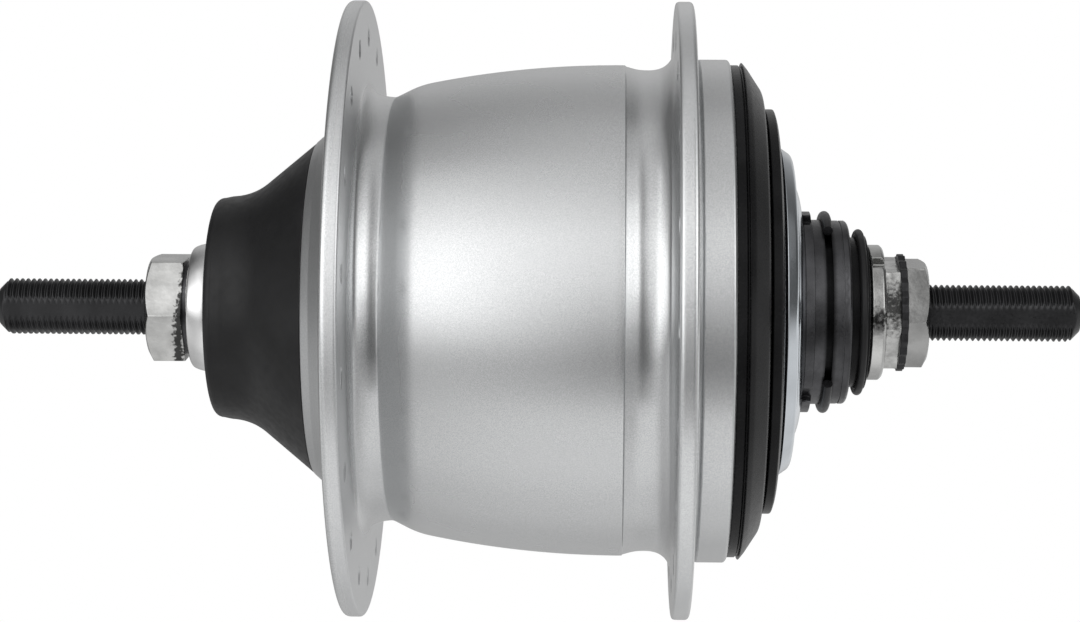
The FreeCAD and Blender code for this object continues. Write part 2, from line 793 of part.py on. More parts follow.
def pawl_pocket(i):
    """The pocket in the axle's thick middle for one sun pawl."""
    clear = pawl_heel + 3 * running_gap
    reach = pawl_length + clear
    corner = Vector(x_gear[i] + pawl_end_gap, pawl_pivot_side + clear - reach, pawl_pivot_height - clear)
    pocket = Part.makeBox(gear_width - 2 * pawl_end_gap, reach, stator_radius, corner)
    pocket.rotate(CENTRE, AXLE_LINE, pawl_turn[i] - 90)
    return pocket


def make_sun_pawl(i):
    """One sun pawl: a bar with a round heel that pivots in the axle, raised for the first sun gear."""
    x_start = x_gear[i] + pawl_end_gap + side_gap / 2
    width = gear_width - 2 * pawl_end_gap - side_gap
    tip_side = pawl_pivot_side - 0.8 * pawl_length
    tip = math.sqrt((notch_radius - 4 * running_gap) ** 2 - tip_side ** 2)
    heel = []
    for angle in (60, -30, -120):
        turn = math.radians(angle)
        side = pawl_pivot_side + pawl_heel * math.cos(turn)
        heel.append(Vector(x_start, side, pawl_pivot_height + pawl_heel * math.sin(turn)))
    finger = [(tip_side, tip - 1.0), (tip_side, tip), (tip_side + 1.0, tip)]
    points = [heel[2]] + [Vector(x_start, side, height) for side, height in finger] + [heel[0]]
    edges = [Part.Arc(heel[0], heel[1], heel[2]).toShape()] + Part.makePolygon(points).Edges
    pawl = Part.Face(Part.Wire(edges)).extrude(Vector(width, 0, 0))
    if i > 0:
        pawl.rotate(Vector(0, pawl_pivot_side, pawl_pivot_height), AXLE_LINE, pawl_swing)
    pawl.rotate(CENTRE, AXLE_LINE, pawl_turn[i] - 90)
    return pawl


def make_sleeve():
    """The gear sleeve: a tube with a window over each sun pawl and a tongue through the cone."""
    x_start = x_gear[0] - 0.4
    tube = ring(x_start, x_sleeve_end, sleeve_inner_radius, sleeve_outer_radius)
    tongue = sector(
        x_sleeve_end - 1, x_collar + collar_width, sleeve_inner_radius, sleeve_outer_radius,
        tongue_turn, sleeve_tongue_angle,
    )
    sleeve = tube.fuse(tongue)
    for i in range(len(sun_teeth)):
        span = window_margin
        middle = pawl_turn[i] - idle_window_turn
        if i == 0:
            span = window_span
            middle = pawl_turn[i] + window_lead - window_span / 2
        window = sector(
            x_gear[i] + running_gap, x_gear[i] + gear_width - running_gap,
            sleeve_inner_radius - 1, sleeve_outer_radius + 1, middle, span,
        )
        sleeve = sleeve.cut(window)
    return sleeve.removeSplitter()


def make_collar():
    """The notched collar outside the driver that turns the sleeve."""
    low = collar_bore_radius
    chamfer = 0.5
    x_end = x_collar + collar_width
    collar = lathe(
        (x_collar, low), (x_collar, collar_radius - 0.2), (x_collar + 0.3, collar_radius),
        (x_end - chamfer, collar_radius), (x_end, collar_radius - chamfer), (x_end, low),
    )
    socket = sector(x_collar - 1, x_end + 1, low - 1, sleeve_outer_radius, tongue_turn, sleeve_tongue_angle)
    corner = Vector(x_collar + 0.5, collar_radius - collar_notch_depth, -collar_notch_width / 2)
    notch = Part.makeBox(collar_width, 2 * collar_notch_depth, collar_notch_width, corner)
    return collar.cut(socket).cut(turned(notch, collar_notch_turn))


def make_return_spring():
    """The coil spring round the sleeve that turns it back, its wire bent in short straight runs."""
    steps = spring_turns * spring_sides
    length = x_spring_end - x_spring_start
    rings = []
    for i in range(steps + 1):
        turn = 2 * math.pi * i / spring_sides
        x = x_spring_start + length * i / steps
        corners = []
        for k in range(6):
            lean = math.pi * k / 3
            radius = spring_radius + spring_wire / 2 * math.cos(lean)
            along = x + spring_wire / 2 * math.sin(lean)
            corners.append(Vector(along, radius * math.cos(turn), radius * math.sin(turn)))
        rings.append(Part.makePolygon(corners + [corners[0]]))
    return Part.makeLoft(rings, True, True)


def make_driver():
    """The driver that carries the sprocket: dogs inside, ball races, seats and the snap ring's groove."""
    size = shell_ball / 2 + running_gap
    shy = math.degrees(math.asin(race_shy / size))
    race_start, race_via, race_end = arc_of_race(x_shell_balls, shell_pitch_radius, size, 270, 360 - shy)
    small = driver_ball / 2 + running_gap
    small_shy = math.degrees(math.asin(race_shy / small))
    cup_start, cup_via, cup_end = arc_of_race(x_driver_balls, driver_pitch_radius, small, 90, 180 - small_shy)
    x_web = race_end[0] + 2.2
    x_face = x_dogs + dog_height + side_gap
    groove = sprocket_seat_radius - snap_groove_depth
    land = sprocket_seat_radius - 0.1
    x_line = x_land + driver_line
    tube = nose_radius + driver_wall
    x_bore_end = x_driver_balls - driver_ball / 2 - 1.6
    blank = lathe(
        (x_face, nose_radius + running_gap), (x_face, dog_radius),
        (x_face + 3, dog_radius), (x_face + 5, tube),
        (race_start[0] - 7, tube), (race_start[0] - 3, race_start[1]), race_start, (race_via, race_end),
        (x_web, race_end[1]), (x_web, seal_seat_radius), (x_plate - 0.2, seal_seat_radius),
        (x_plate - 0.2, driver_seat_radius), (x_ridge - side_gap, driver_seat_radius),
        (x_ridge - side_gap, driver_seat_radius - 0.6), (x_ridge, driver_seat_radius - 0.6),
        (x_ridge, driver_seat_radius - 0.1), (x_sprocket_seat, driver_seat_radius - 0.1),
        (x_sprocket_seat + 0.2, sprocket_seat_radius), (x_snap, sprocket_seat_radius),
        (x_snap, groove), (x_land, groove), (x_land, land),
        (x_line, land), (x_line, land - 0.3), (x_line + 0.3, land - 0.3), (x_line + 0.3, land),
        (x_driver_end - driver_nose, land),
        (
            (x_driver_end - 0.3 * driver_nose, land - 0.3),
            (x_driver_end, land - 1.0),
        ),
        (x_driver_end, cup_start[1] + running_gap), (x_mouth, cup_start[1] + running_gap),
        (x_mouth, cup_start[1]), cup_start, (cup_via, cup_end),
        (x_bore_end, driver_pitch_radius + race_shy), (x_bore_end, spring_bore_radius),
        (x_nose_end + side_gap, spring_bore_radius), (x_nose_end + side_gap, nose_radius + running_gap),
    )
    dog = sector(
        x_dogs + side_gap, x_face + 0.5, nose_radius + open_gap, dog_radius,
        180.0 / dog_count, driver_dog_angle,
    )
    driver = blank.fuse(spaced(dog, dog_count))
    corner = Vector(x_ridge - 0.1, sprocket_seat_radius, -sprocket_notch_width / 2)
    notch = Part.makeBox(ridge_width + 0.6, 6, sprocket_notch_width, corner)
    return driver.cut(Part.makeCompound(spaced(notch, sprocket_notches, sprocket_notch_turn)))


def make_seal_ring():
    """The black inner dust ring on the driver, inside the outer dust cap."""
    x = x_seal_ring
    x_end = x_seal_ring + seal_ring_width
    return lathe(
        (x, seal_seat_radius), (x, seal_ring_radius), (x + 1.5, seal_ring_radius),
        (x + 1.9, seal_ring_radius - 1.2), (x_end, plate_radius + 1.3), (x_end, seal_seat_radius),
    )


def make_driver_plate():
    """The bright stepped plate on the driver."""
    x = x_plate
    return lathe(
        (x, driver_seat_radius), (x, plate_radius - 0.5), (x + 0.4, plate_radius),
        (x + 1.7, plate_radius - 0.9),
        ((x + 2.15, plate_radius - 1.4), (x + 2.35, plate_radius - 2.3)),
        (x + 2.45, plate_step_radius + 0.5), (x + 2.8, plate_step_radius),
        ((x + 3.45, plate_step_radius - 1.6), (x + plate_width, plate_step_radius - 4.1)),
        (x + plate_width, driver_seat_radius),
    )


def wire_ring(x, centre_radius, wire, gap_middle=0.0, gap=0.0):
    """A ring of round wire, whole or with a gap at an angle, in degrees."""
    circle = Part.makeCircle(wire / 2, Vector(x, centre_radius, 0), Vector(0, 0, 1))
    face = Part.Face(Part.Wire(circle))
    piece = face.revolve(CENTRE, AXLE_LINE, 360.0 - gap)
    return turned(piece, gap_middle + gap / 2)


def make_driver_cap():
    """The black cap in the driver's mouth, with the seat of the round seal."""
    seat = driver_pitch_radius + driver_ball / 2 + 2 * running_gap
    x_in = x_mouth
    x_out = x_driver_end + cap_stack
    cage_high = driver_pitch_radius + cage_half_height + side_gap
    x_step = x_driver_balls + driver_ball / 2 + 2 * running_gap + cage_rim + side_gap
    return lathe(
        (x_in, cage_high), (x_step, cage_high), (x_step, cap_bore_radius),
        (x_out, cap_bore_radius), (x_out, seal_tube_radius + 0.3),
        (x_out - driver_cap_rim, seal_tube_radius + 0.3), (x_out - driver_cap_rim, seal_tube_radius),
        (x_driver_end, seal_tube_radius), (x_driver_end, seat), (x_in, seat),
    )


def make_right_cone():
    """The right bearing cone with its hexagon, slotted for the sleeve's tongue."""
    size = driver_ball / 2 + running_gap
    shoulder = driver_pitch_radius - race_shy
    end = 360 - math.degrees(math.asin(race_shy / size))
    first, via, last = arc_of_race(x_driver_balls, driver_pitch_radius, size, 270, end)
    x_nose = x_driver_balls - driver_ball / 2
    x_back = x_driver_end + cap_stack
    cone = lathe(
        (x_nose, axle_radius), (x_nose, first[1]), first, (via, last), (x_back, shoulder),
        (x_back, cone_hub_radius), (x_cone_hex + 0.5, cone_hub_radius), (x_cone_hex + 0.5, axle_radius),
    )
    head = hexagon(x_cone_hex, x_cone_hex + cone_hex_length, nut_across_flats, cone_hex_corner)
    head = head.cut(rod(x_cone_hex - 1, x_cone_hex + cone_hex_length + 1, axle_radius))
    slot_angle = shift_travel + sleeve_tongue_angle + 2 * sleeve_tongue_margin
    slot = sector(x_nose - 1, x_back + 1, cone_hub_radius, sleeve_outer_radius + running_gap,
                  tongue_turn + shift_travel / 2, slot_angle)
    return cone.fuse(head).cut(slot).removeSplitter()


def make_lock_washer():
    """The serrated black washer under the right locknut."""
    corners = []
    for i in range(2 * lock_washer_teeth):
        radius = lock_washer_radius - (0.5 if i % 2 else 0.0)
        corners.append((radius, math.pi * i / lock_washer_teeth))
    blank = prism(x_lock_washer, x_right_nut, corners)
    return blank.cut(rod(x_lock_washer - 1, x_right_nut + 1, axle_radius))


pieces = {
    "axle": make_axle,
    "left_locknut": lambda: make_nut(x_left_face, x_left_nut, left_nut_corner, -1),
    "left_cone": make_left_cone,
    "left_cone_cover": make_left_cover,
    "left_rubber_cap": make_left_cap,
    "left_ball_cup": make_left_cup,
    "left_balls": lambda: balls(x_left_balls, left_pitch_radius, left_ball, left_ball_count),
    "left_ball_cage": lambda: ball_cage(x_left_balls, left_pitch_radius, left_ball, left_ball_count),
    "hub_shell": make_hub_shell,
    "clutch_race": make_clutch_race,
    "ratchet_ring": make_ratchet_ring,
    "right_ball_cup": make_right_cup,
    "outer_dust_cap": make_outer_dust_cap,
    "shell_balls": lambda: balls(x_shell_balls, shell_pitch_radius, shell_ball, shell_ball_count),
    "shell_ball_cage": lambda: ball_cage(x_shell_balls, shell_pitch_radius, shell_ball, shell_ball_count),
    "driver": make_driver,
    "inner_dust_ring": make_seal_ring,
    "driver_plate": make_driver_plate,
    "snap_ring": lambda: wire_ring(
        x_snap + snap_groove_width / 2, snap_centre_radius, snap_wire, snap_gap_turn, snap_gap_angle
    ),
    "driver_cap": make_driver_cap,
    "driver_seal": lambda: wire_ring(
        x_driver_end + seal_setback + seal_wire / 2, seal_tube_radius + seal_wire / 2, seal_wire
    ),
    "driver_balls": lambda: balls(x_driver_balls, driver_pitch_radius, driver_ball, driver_ball_count),
    "driver_ball_cage": lambda: ball_cage(
        x_driver_balls, driver_pitch_radius, driver_ball, driver_ball_count
    ),
    "gear_sleeve": make_sleeve,
    "sleeve_collar": make_collar,
    "return_spring": make_return_spring,
    "right_cone": make_right_cone,
    "serrated_washer": make_lock_washer,
    "right_locknut": lambda: make_nut(x_right_nut, x_right_face, right_nut_corner, 1),
    "circlip": make_circlip,
    "thrust_washer": make_thrust_washer,
    "planet_carrier": make_carrier,
    "planet_pins": make_planet_pins,
    "carrier_pawls": make_carrier_pawls,
    "ring_gear": make_ring_gear,
    "clutch_rollers": make_rollers,
    "roller_cage": make_roller_cage,
}
for size_index, size_name in enumerate(("large", "middle", "small")):
    pieces["sun_gear_" + size_name] = lambda i=size_index: make_sun_gear(i)
    pieces["sun_pawl_" + size_name] = lambda i=size_index: make_sun_pawl(i)
for planet_index in range(planet_count):
    pieces["planet_gear_%d" % (planet_index + 1)] = lambda k=planet_index: make_planet(k)

os.makedirs("parts", exist_ok=True)
print("over the locknuts %.3f, flange spacing %.3f" % (over_locknut, flange_spacing))
print("spoke circle %.3f, flange diameter %.3f" % (2 * spoke_circle_radius, 2 * flange_radius))
for name, make in pieces.items():
    shape = make()
    if not shape.isValid():
        print("not valid:", name)
    shape.exportStep("parts/%s.step" % name)
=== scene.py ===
"""Looks of the internal gear hub: finishes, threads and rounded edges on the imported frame, in metres.

The axle lies along X with the sprocket side at +X, +Z is up and the viewer of the photograph is at -Y.
"""

import json
import math

import bmesh
import bpy
from mathutils import Matrix, Vector


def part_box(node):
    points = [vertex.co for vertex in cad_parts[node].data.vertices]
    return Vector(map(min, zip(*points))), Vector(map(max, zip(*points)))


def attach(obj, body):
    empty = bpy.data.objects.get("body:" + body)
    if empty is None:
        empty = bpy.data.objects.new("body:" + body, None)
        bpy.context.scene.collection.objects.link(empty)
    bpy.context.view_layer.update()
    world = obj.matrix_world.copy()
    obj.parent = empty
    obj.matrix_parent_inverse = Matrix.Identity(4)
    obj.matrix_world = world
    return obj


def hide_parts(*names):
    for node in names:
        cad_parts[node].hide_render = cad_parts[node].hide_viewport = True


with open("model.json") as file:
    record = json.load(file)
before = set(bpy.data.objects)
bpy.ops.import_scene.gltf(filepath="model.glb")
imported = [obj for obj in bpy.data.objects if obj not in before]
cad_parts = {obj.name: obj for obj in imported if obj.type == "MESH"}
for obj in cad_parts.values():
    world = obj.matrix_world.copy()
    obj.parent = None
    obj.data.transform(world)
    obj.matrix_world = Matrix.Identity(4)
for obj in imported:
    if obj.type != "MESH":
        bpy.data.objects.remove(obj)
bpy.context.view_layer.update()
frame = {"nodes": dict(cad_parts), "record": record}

MM = 0.001

# Camera, from the photograph
CAMERA_DISTANCE = 0.450
CAMERA_SIDE = 0.0123
CAMERA_AIM = 0.0005
CAMERA_HEIGHT = -0.0002
CAMERA_LENS = 87.8
CAMERA_SENSOR = 36.0
CAMERA_ROLL = math.radians(0.43)
CAMERA_CLIP = (0.01, 50.0)

# Meshes: the half plane of the outlines misses every hole and notch
RING_SEGMENTS = 256
SECTION_TURN = math.radians(28.6)
CAD_MERGE = 1e-7
MERGE = 1e-6
NORMAL_WEIGHT = 80

# Outlines: from which turn in degrees a corner counts, and how far it is cut or rounded
STRAIGHT = 0.4
BEND = 1.2
SHARP = 32
THREAD_SHARP = 35
EASE_ROUNDS = 4
EASE_REACH = 0.25
ROUND_REACH = 0.4
ROUND_STEPS = 4

# Rounded edges
SHELL_EDGE = 0.35 * MM
CAP_EDGE = 0.25 * MM
PLATE_EDGE = 0.12 * MM
NUT_EDGE = 0.15 * MM
WORN_EDGE = 0.32 * MM
EDGE_SEGMENTS = 2

# Spoke holes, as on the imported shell
HOLE_RADIUS = 1.45 * MM
HOLE_CHAMFER = 0.3 * MM
HOLE_CIRCLE = 46.3 * MM
HOLE_COUNT = 18
HOLE_SEGMENTS = 32
FLANGES = ((-30.4 * MM, 93.5), (24.6 * MM, 103.5))
FLANGE_HALF = 1.5 * MM
DRILL_REACH = 1 * MM

# Axle thread: its rows over one turn, from crest (0) to root (1)
THREAD_PITCH = 25.4 / 26 * MM
THREAD_DEPTH = 0.45 * MM
THREAD_SEGMENTS = 64
THREAD_ROWS = (0.0, 0.0, 0.35, 0.75, 1.0, 1.0, 0.75, 0.35)
THREAD_START = 0.4 * MM
AXLE_RADIUS = 9.525 / 2 * MM
AXLE_FLAT = 8.2 / 2 * MM
AXLE_FLAT_TURN = math.radians(8)
AXLE_TIP = AXLE_RADIUS - 1.6 * MM

# Textures: the part of a noise's range that is used, and noise scales in cells per metre
NOISE_RANGE = (0.3, 0.7)
TINT_RANGE = (0.35, 0.65)
FLAKE_SCALE = 5200.0
PAINT_GRAIN_SCALE = 900.0
PAINT_CLOUD_SCALE = 60.0
METAL_GRAIN_SCALE = 2600.0
RAGGED_SCALE = 600.0
BORDER_SCALE = 1700.0
DUST_SCALE = 90.0

# A ramp along the axle covers 200 mm, with the middle of the hub at its half
RAMP_SHARE = 5.0
RAMP_MIDDLE = 0.5

# Silver paint: its flake's colours, how rough it is along the axle, and its painted light and shade
# along the axle, in millimetres
SILVER_DARK = (0.55, 0.56, 0.565)
SILVER_LIGHT = (0.64, 0.645, 0.65)
SILVER_CLOUD = 0.03
SILVER_ROUGHNESS = (
    (-60, 0.32), (-33, 0.32), (-31.9, 0.24), (-29.2, 0.30), (-28.75, 0.30), (-28.4, 0.16), (-24.2, 0.17),
    (-23.4, 0.25), (-19.6, 0.27), (14.5, 0.27), (14.8, 0.16), (22.8, 0.16), (23.4, 0.24), (26.3, 0.24),
    (26.6, 0.25), (60, 0.25),
)
# Painted light and shade: painted shade on the left end cone and in the fillet beside the right flange,
# painted highlights on both flange rims
SILVER_PAINTED_LIGHT_AND_SHADE = (
    (-60, 0.75), (-33, 0.80), (-31.9, 1.07), (-29.1, 1.07), (-28.6, 0.97), (-19.9, 0.97), (-19.6, 1.0),
    (20.6, 1.0), (21.2, 0.88), (22.9, 0.88), (23.2, 1.1), (26.1, 1.1), (26.4, 1.0), (60, 1.0),
)

# The driver is darker in its sprocket seat: painted shade in the groove there
DRIVER_PAINTED_SHADE = ((-60, 1.0), (48.0, 1.0), (48.15, 0.12), (49.25, 0.12), (49.4, 1.0), (60, 1.0))

# Floor
FLOOR_DROP = 0.30
FLOOR_SIZE = 14.0
FLOOR_GREY = 0.9
FLOOR_ROUGHNESS = 0.9

# The world's levels: rows by the elevation of a direction about the axle, in degrees, and columns
# by how far it leans from the left end of the axle (-1) to the right end (1)
LIGHT_SIDES = (-1.0, -0.85, -0.55, -0.4, -0.2, 0.05, 0.12, 0.2, 0.35, 0.74, 0.92)
LIGHT_LEVELS = (
    (-180, (0.30, 0.25, 0.22, 0.32, 0.42, 0.45, 0.45, 0.55, 0.75, 0.85, 0.90)),
    (-135, (0.70, 0.62, 0.50, 0.50, 0.58, 0.58, 0.60, 0.62, 0.66, 0.66, 0.66)),
    (-105, (0.80, 0.72, 0.57, 0.62, 0.76, 0.80, 0.82, 0.82, 0.82, 0.70, 0.70)),
    (-75, (0.80, 0.74, 0.68, 0.80, 0.95, 0.98, 0.98, 0.98, 0.90, 0.60, 0.70)),
    (-50, (0.72, 0.68, 0.66, 0.77, 0.96, 0.96, 0.92, 0.90, 0.75, 0.50, 0.70)),
    (-36, (0.62, 0.58, 0.60, 0.66, 0.65, 0.48, 0.28, 0.35, 0.45, 0.45, 0.60)),
    (-24, (0.46, 0.50, 0.60, 0.66, 0.52, 0.18, 0.06, 0.12, 0.30, 0.45, 0.45)),
    (-12, (0.45, 1.00, 1.20, 1.30, 0.90, 0.28, 0.05, 0.12, 0.45, 0.80, 0.30)),
    (0, (0.50, 1.70, 1.90, 1.95, 1.10, 0.72, 0.08, 0.20, 0.95, 1.30, 0.15)),
    (14, (0.50, 2.00, 2.10, 2.05, 1.32, 1.16, 0.30, 0.35, 1.90, 1.80, 0.10)),
    (32, (0.42, 2.00, 1.90, 1.95, 1.42, 1.24, 0.70, 0.50, 2.00, 1.90, 0.10)),
    (48, (0.36, 1.20, 1.30, 1.50, 1.08, 1.04, 0.30, 0.50, 1.50, 1.50, 0.10)),
    (62, (0.30, 0.80, 0.85, 1.15, 0.82, 0.82, 0.35, 0.50, 0.95, 0.90, 0.10)),
    (85, (0.25, 0.42, 0.38, 0.40, 0.52, 0.64, 0.58, 0.58, 0.60, 0.40, 0.08)),
    (110, (0.19, 0.14, 0.13, 0.24, 0.36, 0.44, 0.38, 0.32, 0.20, 0.12, 0.06)),
    (145, (0.19, 0.10, 0.12, 0.38, 0.53, 0.58, 0.55, 0.50, 0.35, 0.15, 0.12)),
    (180, (0.30, 0.25, 0.22, 0.32, 0.42, 0.45, 0.45, 0.55, 0.75, 0.85, 0.90)),
)
WHITE = (1.0, 1.0, 1.0, 1.0)

# A Mix node's colour sockets
MIX_FIRST, MIX_SECOND, MIX_RESULT = 6, 7, 2


# Shader nodes

def start_material(name):
    """A new node material, with its node tree and its Principled shader."""
    material = bpy.data.materials.new(name)
    material.use_nodes = True
    return material, material.node_tree, material.node_tree.nodes["Principled BSDF"]


def noise(tree, scale, detail=2.0):
    """A noise in object coordinates, with cells of about 1/scale metres."""
    place = tree.nodes.new("ShaderNodeTexCoord")
    texture = tree.nodes.new("ShaderNodeTexNoise")
    texture.inputs["Scale"].default_value = scale
    texture.inputs["Detail"].default_value = detail
    tree.links.new(place.outputs["Object"], texture.inputs["Vector"])
    return texture.outputs["Fac"]


def coordinates(tree, kind):
    """The X, Y and Z of a kind of texture coordinate."""
    place = tree.nodes.new("ShaderNodeTexCoord")
    split = tree.nodes.new("ShaderNodeSeparateXYZ")
    tree.links.new(place.outputs[kind], split.inputs["Vector"])
    return split.outputs


def number(tree, operation, *sources):
    """A math node, fed by sockets or plain numbers."""
    node = tree.nodes.new("ShaderNodeMath")
    node.operation = operation
    for i, source in enumerate(sources):
        if isinstance(source, float):
            node.inputs[i].default_value = source
        else:
            tree.links.new(source, node.inputs[i])
    return node.outputs["Value"]


def spread(tree, source, start, end, low, high):
    """A number that runs from low to high while its source runs from start to end."""
    node = tree.nodes.new("ShaderNodeMapRange")
    for socket, value in zip(("From Min", "From Max", "To Min", "To Max"), (start, end, low, high)):
        node.inputs[socket].default_value = value
    tree.links.new(source, node.inputs["Value"])
    return node.outputs["Result"]


def tint(tree, source, dark, light):
    """A colour between two, led by a noise."""
    ramp = tree.nodes.new("ShaderNodeValToRGB")
    for element, place, colour in zip(ramp.color_ramp.elements, TINT_RANGE, (dark, light)):
        element.position = place
        element.color = (*colour, 1.0)
    tree.links.new(source, ramp.inputs["Fac"])
    return ramp.outputs["Color"]


def ramp_of(tree, source, stops):
    """A grey ramp over a number from 0 to 1, through (place, level) stops."""
    ramp = tree.nodes.new("ShaderNodeValToRGB")
    ramp.color_ramp.interpolation = "EASE"
    elements = ramp.color_ramp.elements
    for place, level in stops[1:-1]:
        elements.new(place).color = (level, level, level, 1.0)
    for element, (place, level) in ((elements[0], stops[0]), (elements[-1], stops[-1])):
        element.position = place
        element.color = (level, level, level, 1.0)
    tree.links.new(source, ramp.inputs["Fac"])
    return ramp.outputs["Color"]


def along_axle(tree, stops):
    """A number that follows the place along the axle, through (millimetres, value) stops."""
    share = number(tree, "MULTIPLY_ADD", coordinates(tree, "Object")["X"], RAMP_SHARE, RAMP_MIDDLE)
    return ramp_of(tree, share, [(x * MM * RAMP_SHARE + RAMP_MIDDLE, level) for x, level in stops])


def painted_reflection_patch(tree, z, half, reach, soft, kept, x=None, slant=0.0):
    """The share of a colour that is kept in and around a painted dark reflection: a dark patch with a
    ragged border.

    The patch goes round the part beside the height z or, where x is given, beside a line through x
    and z with a slant. Its half width, ragged reach and softness are in millimetres.
    """
    place = coordinates(tree, "Object")
    away = number(tree, "SUBTRACT", place["Z"], z * MM)
    if x is not None:
        along = number(tree, "SUBTRACT", place["X"], x * MM)
        away = number(tree, "MULTIPLY_ADD", away, -slant, along)
    away = number(tree, "ABSOLUTE", away)
    away = number(tree, "MULTIPLY_ADD", noise(tree, BORDER_SCALE, 5.0), reach * MM, away)
    border = half + 0.5 * reach
    return spread(tree, away, (border - soft) * MM, (border + soft) * MM, kept, 1.0)


def darken(tree, colour, share, shader):
    """Feed a shader's base colour with a share of a colour."""
    shade = tree.nodes.new("ShaderNodeVectorMath")
    shade.operation = "SCALE"
    tree.links.new(colour, shade.inputs[0])
    tree.links.new(share, shade.inputs["Scale"])
    tree.links.new(shade.outputs["Vector"], shader.inputs["Base Color"])


def emboss(tree, skins, shader):
    """Chain bumps of (noise, strength, depth in metres) into a shader's normal."""
    normal = None
    for source, strength, depth in skins:
        bump = tree.nodes.new("ShaderNodeBump")
        bump.inputs["Strength"].default_value = strength
        bump.inputs["Distance"].default_value = depth
        tree.links.new(source, bump.inputs["Height"])
        if normal:
            tree.links.new(normal, bump.inputs["Normal"])
        normal = bump.outputs["Normal"]
    tree.links.new(normal, shader.inputs["Normal"])


def mixed(tree, factor, first, second):
    """A blend of two colours; the second is a socket or a plain colour."""
    mix = tree.nodes.new("ShaderNodeMix")
    mix.data_type = "RGBA"
    tree.links.new(factor, mix.inputs["Factor"])
    tree.links.new(first, mix.inputs[MIX_FIRST])
    if isinstance(second, tuple):
        mix.inputs[MIX_SECOND].default_value = second
    else:
        tree.links.new(second, mix.inputs[MIX_SECOND])
    return mix.outputs[MIX_RESULT]


# Finishes

def silver_paint():
    """Satin silver paint with a fine metal flake, with painted light and shade along the axle."""
    material, tree, shader = start_material("silver_paint")
    flake = noise(tree, FLAKE_SCALE, 1.0)
    # The flake colour carries the painted light and shade along the axle
    darken(tree, tint(tree, flake, SILVER_DARK, SILVER_LIGHT), along_axle(tree, SILVER_PAINTED_LIGHT_AND_SHADE), shader)
    cloud = spread(tree, noise(tree, PAINT_CLOUD_SCALE, 3.0), 0.0, 1.0, -SILVER_CLOUD, SILVER_CLOUD)
    rough = number(tree, "ADD", along_axle(tree, SILVER_ROUGHNESS), cloud)
    tree.links.new(rough, shader.inputs["Roughness"])
    emboss(tree, [(flake, 0.09, 0.02 * MM), (noise(tree, PAINT_GRAIN_SCALE), 0.05, 0.03 * MM)], shader)
    shader.inputs["Metallic"].default_value = 0.85
    shader.inputs["Coat Weight"].default_value = 0.25
    shader.inputs["Coat Roughness"].default_value = 0.22
    return material


def metal(name, colour, roughness, wear=0.08, metallic=1.0, bumps=0.1, ragged=0.0, cell=220.0,
          painted_shade_stops=None, patch=None):
    """A bare or plated metal: its colour and roughness vary a little, its plating can be ragged, and its
    colour can carry painted shade along the axle or a painted dark reflection.
    """
    material, tree, shader = start_material(name)
    grain = noise(tree, METAL_GRAIN_SCALE, 3.0)
    dark = tuple(c * (1 - 2 * wear) for c in colour)
    cloudy = tint(tree, noise(tree, cell, 4.0), dark, colour)
    # Painted shade along the axle, where stops are given
    if painted_shade_stops:
        darken(tree, cloudy, along_axle(tree, painted_shade_stops), shader)
    # A patch is a painted dark reflection
    elif patch:
        darken(tree, cloudy, painted_reflection_patch(tree, **patch), shader)
    else:
        tree.links.new(cloudy, shader.inputs["Base Color"])
    rough = spread(tree, grain, *NOISE_RANGE, roughness * 0.8, roughness * 1.25)
    tree.links.new(rough, shader.inputs["Roughness"])
    skins = [(grain, bumps, 0.02 * MM)]
    if ragged:
        skins.append((noise(tree, RAGGED_SCALE), ragged, 0.15 * MM))
    emboss(tree, skins, shader)
    shader.inputs["Metallic"].default_value = metallic
    return material


def dull(name, colour, roughness, bumps, cell, gloss):
    """Rubber or plastic, with a fine moulded skin and faint dust."""
    material, tree, shader = start_material(name)
    skin = noise(tree, cell, 4.0)
    pale = tuple(c * 1.5 + 0.004 for c in colour)
    dusty = tint(tree, noise(tree, DUST_SCALE, 5.0), colour, pale)
    tree.links.new(dusty, shader.inputs["Base Color"])
    rough = spread(tree, skin, *NOISE_RANGE, roughness * 0.85, roughness * 1.15)
    tree.links.new(rough, shader.inputs["Roughness"])
    emboss(tree, [(skin, bumps, 0.05 * MM)], shader)
    shader.inputs["Specular IOR Level"].default_value = gloss
    return material


def paint(piece, material):
    """Give a piece one material on all its faces."""
    piece.data.materials.clear()
    piece.data.materials.append(material)
    for face in piece.data.polygons:
        face.material_index = 0


# Outlines of turned parts, as (x, radius) places

def outline_of(node):
    """The closed outline of a turned CAD part, cut by a half plane."""
    outward = Vector((0, math.cos(SECTION_TURN), math.sin(SECTION_TURN)))
    across = Vector((0, -math.sin(SECTION_TURN), math.cos(SECTION_TURN)))
    mesh = bmesh.new()
    mesh.from_mesh(frame["nodes"][node].data)
    bmesh.ops.remove_doubles(mesh, verts=mesh.verts, dist=CAD_MERGE)
    everything = mesh.verts[:] + mesh.edges[:] + mesh.faces[:]
    cut = bmesh.ops.bisect_plane(mesh, geom=everything, plane_co=(0, 0, 0), plane_no=across)
    neighbours = {}
    for edge in cut["geom_cut"]:
        if isinstance(edge, bmesh.types.BMEdge):
            a, b = edge.verts
            if a.co.dot(outward) > 0 and b.co.dot(outward) > 0:
                neighbours.setdefault(a, []).append(b)
                neighbours.setdefault(b, []).append(a)
    start = max(neighbours, key=lambda v: v.co.dot(outward))
    loop, before, here = [start], None, start
    while True:
        following = [v for v in neighbours[here] if v is not before]
        if not following or following[0] is start:
            break
        before, here = here, following[0]
        loop.append(here)
    outline = [(v.co.x, v.co.dot(outward)) for v in loop]
    mesh.free()
    return outline


def corner_turn(before, here, after):
    """How much an outline turns at a place, in degrees."""
    first = math.atan2(here[1] - before[1], here[0] - before[0])
    second = math.atan2(after[1] - here[1], after[0] - here[0])
    return abs(math.degrees((second - first + math.pi) % (2 * math.pi) - math.pi))


